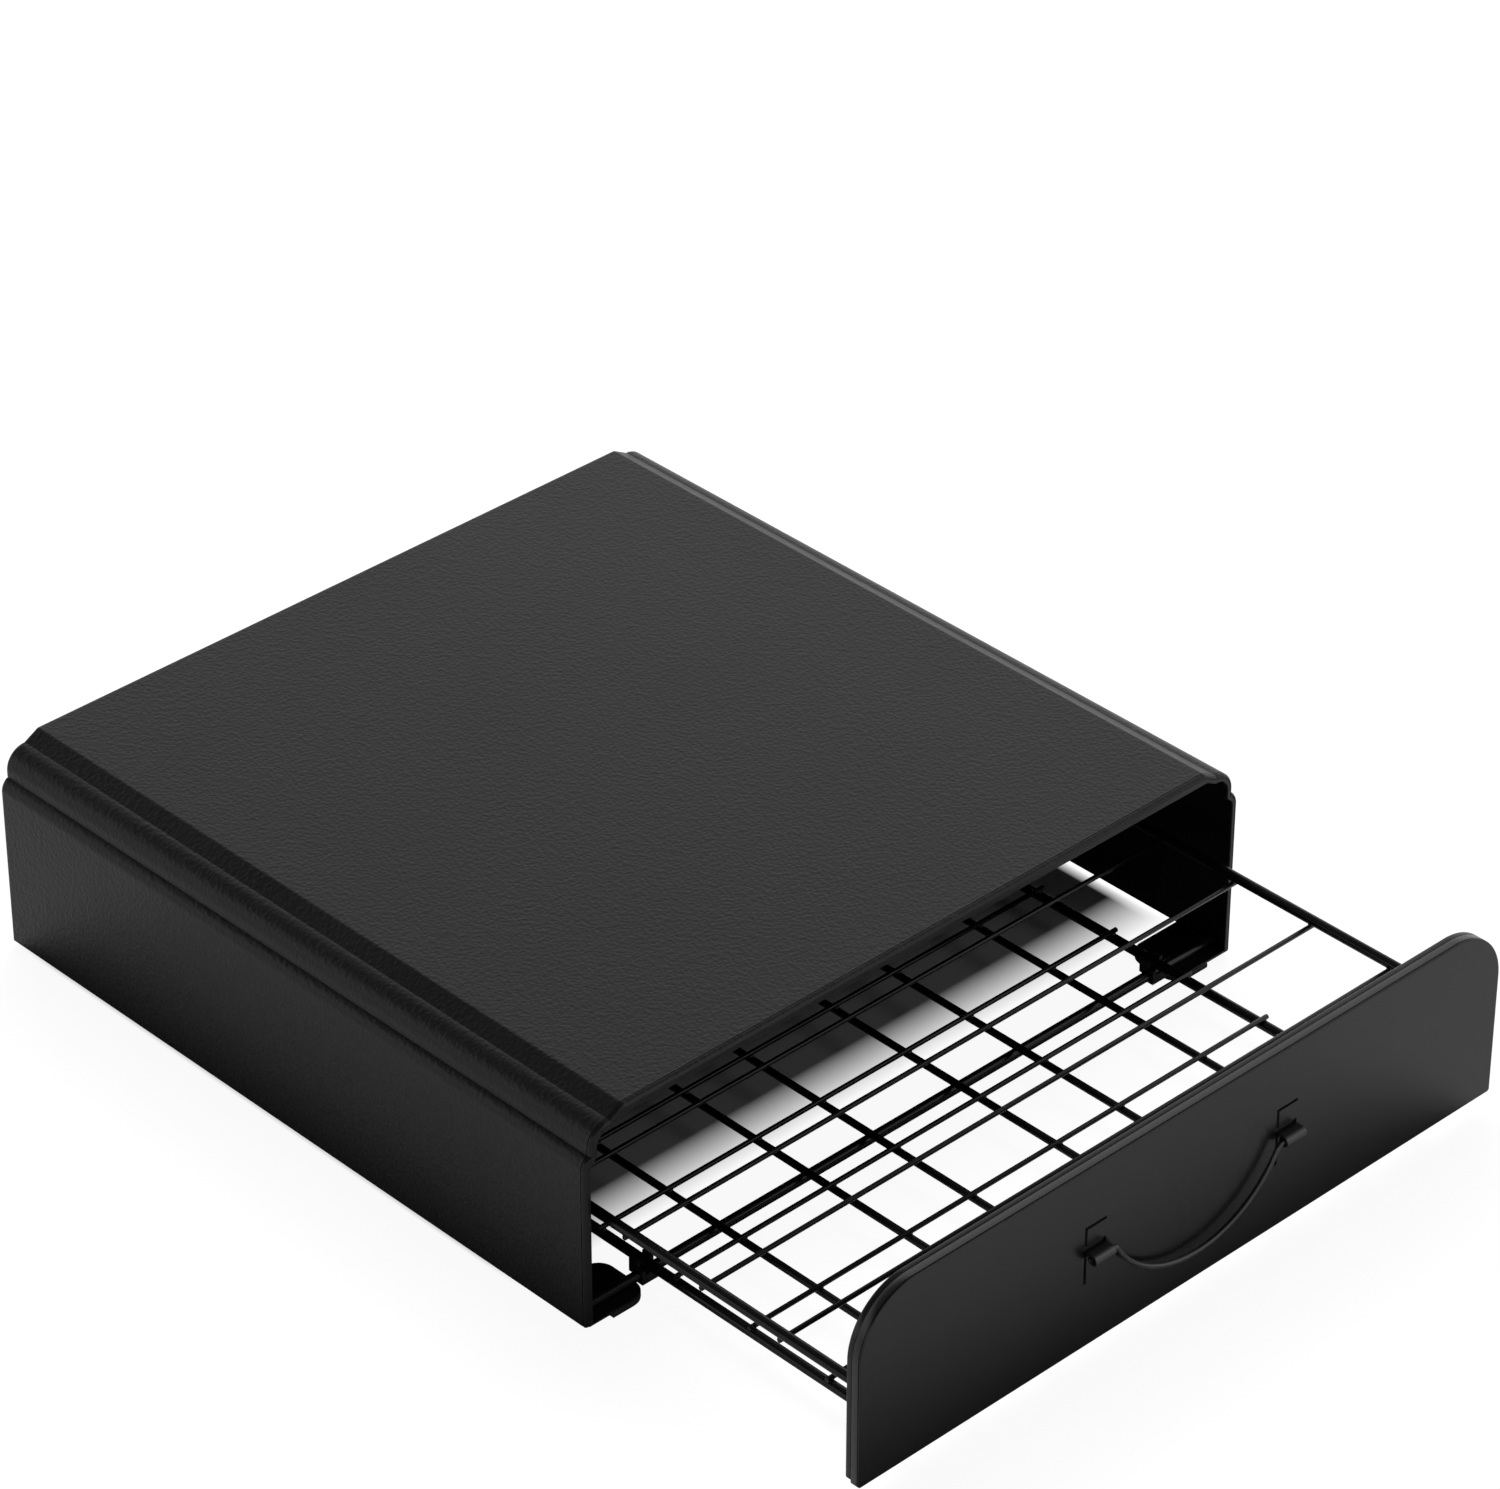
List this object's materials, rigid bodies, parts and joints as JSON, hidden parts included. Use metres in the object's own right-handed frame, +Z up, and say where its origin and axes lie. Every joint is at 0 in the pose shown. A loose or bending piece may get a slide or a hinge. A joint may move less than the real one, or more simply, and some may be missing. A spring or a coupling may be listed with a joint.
{
  "type": "coffee pod drawer",
  "caption": "Low black counter stand with an arched sheet housing and a wire basket drawer on cross rods, pulled by a small bail on its front.",
  "frame": {"origin": "on the counter under the middle of the whole object, drawer drawn out as in the picture", "axes": "+X to the right along the front, +Y from the drawer front to the back, +Z up"},
  "size_m": [0.33, 0.4602, 0.0907],
  "materials": {
    "housing_coat": "fine leather-grain powder coat, satin",
    "rim_coat": "satin powder coat",
    "drawer_front_coat": "smooth satin powder coat",
    "wire_coat": "semi-gloss powder coat",
    "bail_coat": "semi-gloss powder coat",
    "guide_plastic": "moulded black",
    "foot_rubber": "matt black"
  },
  "bodies": {
    "housing": {"housing_shell": "housing_coat", "front_rim": "rim_coat", "rear_panel": "housing_coat", "foot_tab_front_left": "housing_coat", "foot_tab_front_right": "housing_coat", "foot_tab_rear_left": "housing_coat", "foot_tab_rear_right": "housing_coat", "foot_front_left": "foot_rubber", "foot_front_right": "foot_rubber", "foot_rear_left": "foot_rubber", "foot_rear_right": "foot_rubber", "front_cross_rod": "wire_coat", "middle_cross_rod": "wire_coat", "rear_cross_rod": "wire_coat", "guide_front_left": "guide_plastic", "guide_front_right": "guide_plastic", "guide_middle_left": "guide_plastic", "guide_middle_right": "guide_plastic"},
    "drawer": {"front_panel": "drawer_front_coat", "panel_backing": "drawer_front_coat", "hinge_loop_left": "drawer_front_coat", "hinge_loop_right": "drawer_front_coat", "upper_side_rod_left": "wire_coat", "upper_side_rod_right": "wire_coat", "lower_side_rod_left": "wire_coat", "lower_side_rod_right": "wire_coat", "upper_front_rod": "wire_coat", "upper_rear_rod": "wire_coat", "lower_front_rod": "wire_coat", "lower_rear_rod": "wire_coat", "upper_cross_wires": "wire_coat", "lower_cross_wires": "wire_coat", "row_support_wires": "wire_coat", "rear_posts": "wire_coat"},
    "bail": {"bail_handle": "bail_coat"}
  },
  "joints": [
    {"name": "drawer_slide", "type": "slide", "parent": "housing", "child": "drawer", "axis": [0, -1, 0], "range_m": [-0.131, 0.119]},
    {"name": "bail_swing", "type": "hinge", "parent": "drawer", "child": "bail", "pos_m": [0, -0.22795, 0.0488], "axis": [-1, 0, 0], "range_deg": [0, 175]}
  ]
}
